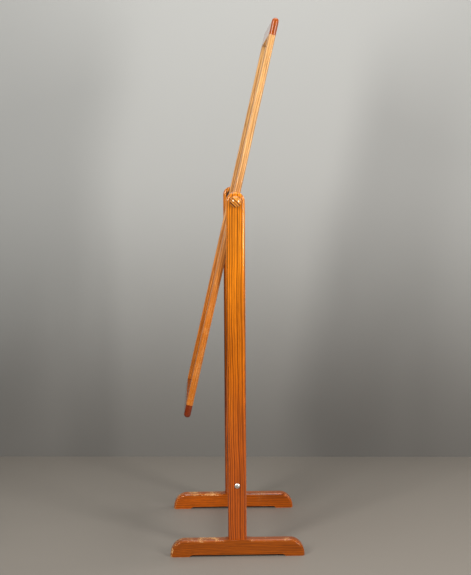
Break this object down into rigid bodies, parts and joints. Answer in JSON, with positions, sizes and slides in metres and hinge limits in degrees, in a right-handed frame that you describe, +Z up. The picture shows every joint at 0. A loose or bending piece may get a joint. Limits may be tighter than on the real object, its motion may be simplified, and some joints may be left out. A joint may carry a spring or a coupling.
{
  "type": "tilting floor mirror",
  "caption": "Free-standing floor mirror: a wood-framed mirror pivots between round-topped posts on sled feet and is held at any tilt by turned clamp knobs.",
  "frame": {"origin": "on the floor, at the middle of the stand's footprint, straight below the middle of the pivot axis", "axes": "+X along the pivot axis to the right of a person who faces the mirror, +Y away from that person, +Z up; the mirror faces -Y"},
  "size_m": [0.604, 0.4, 1.5844],
  "materials": {
    "lacquered_pine": "glossy amber lacquer over pine with strong lengthwise grain",
    "pale_pine": "glossy lacquer over paler pine",
    "turned_pine": "glossy lacquer, end-turned pine with slanting grain",
    "dark_hardwood": "glossy reddish brown lacquered hardwood",
    "beech_dowel": "raw fluted dowel",
    "hardboard": "brown hardboard, smooth face out",
    "silvered_mirror": "silvered float glass",
    "nickel_bolt": "bright nickel plate",
    "zinc_steel": "bright zinc plate",
    "brass_insert": "plain brass",
    "dark_leather": "dark brown leather washer"
  },
  "bodies": {
    "stand": {"stretcher": "lacquered_pine", "foot_right": "lacquered_pine", "post_right": "lacquered_pine", "foot_screws_right": "zinc_steel", "stretcher_bolt_right": "nickel_bolt", "barrel_nut_right": "zinc_steel", "stretcher_dowels_right": "beech_dowel", "foot_left": "lacquered_pine", "post_left": "lacquered_pine", "foot_screws_left": "zinc_steel", "stretcher_bolt_left": "nickel_bolt", "barrel_nut_left": "zinc_steel", "stretcher_dowels_left": "beech_dowel"},
    "panel": {"top_rail": "dark_hardwood", "bottom_rail": "dark_hardwood", "mirror_glass": "silvered_mirror", "back_board": "hardboard", "top_dowels": "beech_dowel", "bottom_dowels": "beech_dowel", "glazing_brads": "zinc_steel", "stile_right": "pale_pine", "threaded_insert_right": "brass_insert", "pivot_spacer_right": "dark_leather", "stile_left": "pale_pine", "threaded_insert_left": "brass_insert", "pivot_spacer_left": "dark_leather"},
    "right_clamp": {"knob_washer_right": "zinc_steel"},
    "right_knob": {"knob_right": "turned_pine", "knob_stud_right": "zinc_steel"},
    "left_clamp": {"knob_washer_left": "zinc_steel"},
    "left_knob": {"knob_left": "turned_pine", "knob_stud_left": "zinc_steel"}
  },
  "joints": [
    {"name": "panel_tilt", "type": "hinge", "parent": "stand", "child": "panel", "pos_m": [0, 0, 1.057], "axis": [1, 0, 0], "continuous": true},
    {"name": "right_knob_travel", "type": "slide", "parent": "panel", "child": "right_clamp", "axis": [1, 0, 0], "range_m": [0, 0.0055]},
    {"name": "right_knob_turn", "type": "hinge", "parent": "right_clamp", "child": "right_knob", "pos_m": [0.28, 0, 1.057], "axis": [1, 0, 0], "range_deg": [0, 1440]},
    {"name": "left_knob_travel", "type": "slide", "parent": "panel", "child": "left_clamp", "axis": [-1, 0, 0], "range_m": [0, 0.0055]},
    {"name": "left_knob_turn", "type": "hinge", "parent": "left_clamp", "child": "left_knob", "pos_m": [-0.28, 0, 1.057], "axis": [-1, 0, 0], "range_deg": [0, 1440]}
  ],
  "couplings": [
    {"joint": "right_knob_travel", "follows": "right_knob_turn", "m_per_rad": 0.00019894},
    {"joint": "left_knob_travel", "follows": "left_knob_turn", "m_per_rad": 0.00019894}
  ]
}
